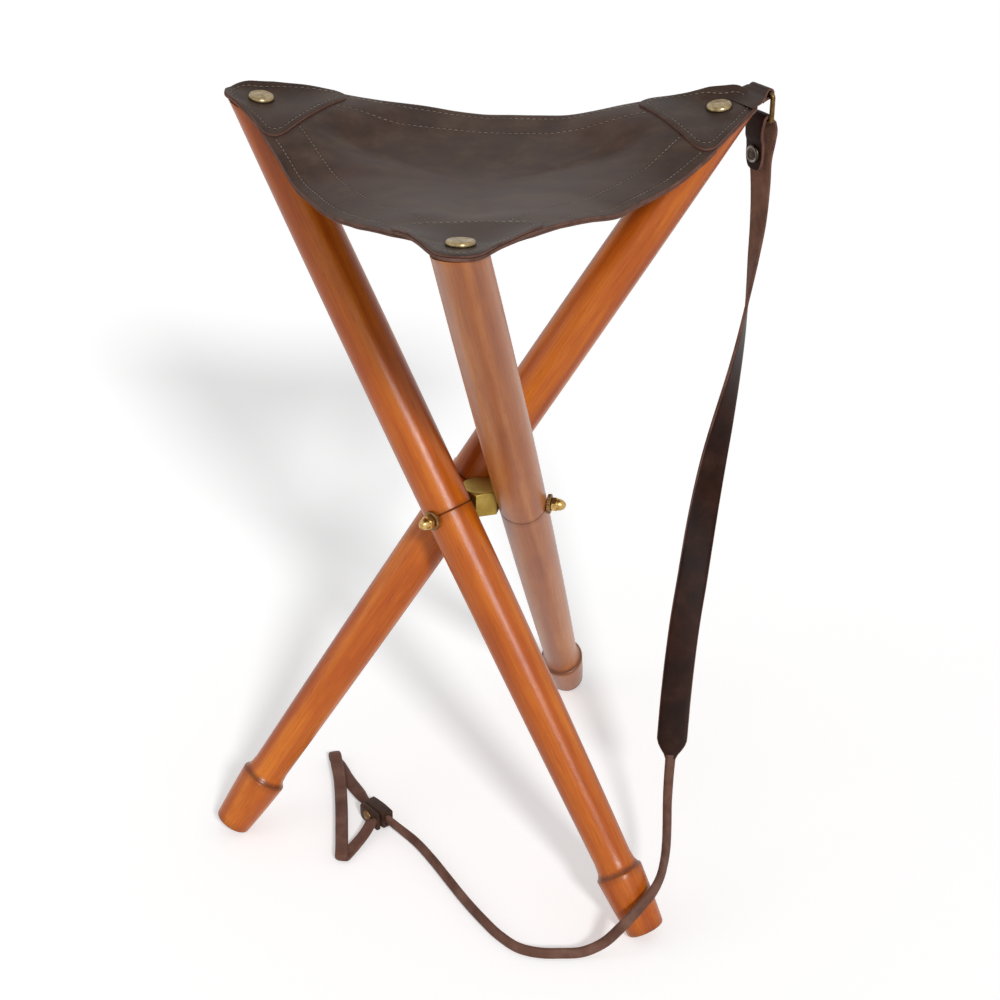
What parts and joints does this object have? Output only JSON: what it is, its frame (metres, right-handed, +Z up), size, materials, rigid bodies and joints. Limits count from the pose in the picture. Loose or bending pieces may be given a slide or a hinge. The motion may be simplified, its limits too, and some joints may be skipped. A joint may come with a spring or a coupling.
{
  "type": "folding stool",
  "caption": "Tripod folding stool: turned wooden legs crossing at a brass hub, sagging leather sling seat and a leather carrying strap with a looped thong.",
  "frame": {"origin": "on the floor, under the middle of the stool's bounding box with the strap pieces left out", "axes": "+Z up; the front leg end leans towards -Y, with the strap's corner at +X and +Y"},
  "size_m": [0.4206, 0.4534, 0.6039],
  "materials": {
    "turned_wood": "satin varnish over figured honey-brown wood",
    "brass": "polished, slightly aged",
    "dark_steel": "dark oxide",
    "seat_leather": "dark brown, soft sheen",
    "patch_leather": "dark brown, soft sheen",
    "band_leather": "dark brown, raw cut edges",
    "strap_leather": "reddish brown bridle leather"
  },
  "bodies": {
    "hub": {"pivot_hub": "brass", "pivot_stud_1": "dark_steel", "pivot_stud_2": "dark_steel", "pivot_stud_3": "dark_steel", "pivot_washer_1": "dark_steel", "pivot_washer_2": "dark_steel", "pivot_washer_3": "dark_steel", "acorn_nut_1": "brass", "acorn_nut_2": "brass", "acorn_nut_3": "brass"},
    "leg_1": {"leg_1": "turned_wood", "seat_screw_1": "dark_steel", "seat_cap_1": "brass"},
    "leg_2": {"leg_2": "turned_wood", "seat_screw_2": "dark_steel", "seat_cap_2": "brass"},
    "leg_3": {"leg_3": "turned_wood", "seat_screw_3": "dark_steel", "seat_cap_3": "brass"},
    "seat_center": {"seat_panel": "seat_leather", "edge_band_1": "band_leather", "edge_band_2": "band_leather", "edge_band_3": "band_leather"},
    "seat_corner_1": {"corner_patch_1": "patch_leather", "ring_tab": "strap_leather"},
    "seat_corner_2": {"corner_patch_2": "patch_leather"},
    "seat_corner_3": {"corner_patch_3": "patch_leather"},
    "hanging_strap": {"strap_ring": "brass", "carry_strap": "strap_leather", "press_stud": "dark_steel", "thong": "strap_leather", "end_loop": "strap_leather", "keeper": "strap_leather", "keeper_rivet": "brass"}
  },
  "joints": [
    {"name": "leg_1_fold", "type": "hinge", "parent": "hub", "child": "leg_1", "pos_m": [-0.00463, 0.03502, 0.30051], "axis": [0.5, -0.866, 0], "range_deg": [0, 35.6], "deforming": ["seat_panel", "edge_band_1", "edge_band_2", "edge_band_3", "corner_patch_1", "corner_patch_2", "corner_patch_3", "ring_tab", "carry_strap", "thong", "end_loop", "keeper"]},
    {"name": "leg_2_fold", "type": "hinge", "parent": "hub", "child": "leg_2", "pos_m": [-0.00463, -0.02439, 0.30051], "axis": [0.5, 0.866, 0], "range_deg": [0, 35.6]},
    {"name": "leg_3_fold", "type": "hinge", "parent": "hub", "child": "leg_3", "pos_m": [0.04682, 0.00532, 0.30051], "axis": [-1, 0, 0], "range_deg": [0, 35.6]},
    {"name": "seat_lift", "type": "slide", "parent": "hub", "child": "seat_center", "axis": [0, 0, 1], "range_m": [0, 0.2001]},
    {"name": "seat_corner_1_fold", "type": "hinge", "parent": "seat_center", "child": "seat_corner_1", "pos_m": [0.26511, 0.19075, 0.20051], "axis": [0.5, -0.866, 0], "range_deg": [0, 35.6]},
    {"name": "seat_corner_2_fold", "type": "hinge", "parent": "seat_center", "child": "seat_corner_2", "pos_m": [-0.27436, 0.13134, 0.20051], "axis": [0.5, 0.866, 0], "range_deg": [0, 35.6]},
    {"name": "seat_corner_3_fold", "type": "hinge", "parent": "seat_center", "child": "seat_corner_3", "pos_m": [0.04682, -0.30615, 0.20051], "axis": [-1, 0, 0], "range_deg": [0, 35.6]},
    {"name": "strap_swing", "type": "hinge", "parent": "leg_1", "child": "hanging_strap", "pos_m": [0.19856, 0.16406, 0.59996], "axis": [-0.7186, 0.6954, 0], "range_deg": [0, 16.03]}
  ],
  "couplings": [
    {"joint": "leg_2_fold", "follows": "leg_1_fold", "ratio": 1},
    {"joint": "leg_3_fold", "follows": "leg_1_fold", "ratio": 1},
    {"joint": "seat_lift", "follows": "leg_1_fold", "m_per_rad": 0.32189},
    {"joint": "seat_corner_1_fold", "follows": "leg_1_fold", "ratio": 1},
    {"joint": "seat_corner_2_fold", "follows": "leg_1_fold", "ratio": 1},
    {"joint": "seat_corner_3_fold", "follows": "leg_1_fold", "ratio": 1},
    {"joint": "strap_swing", "follows": "leg_1_fold", "ratio": 0.45}
  ]
}
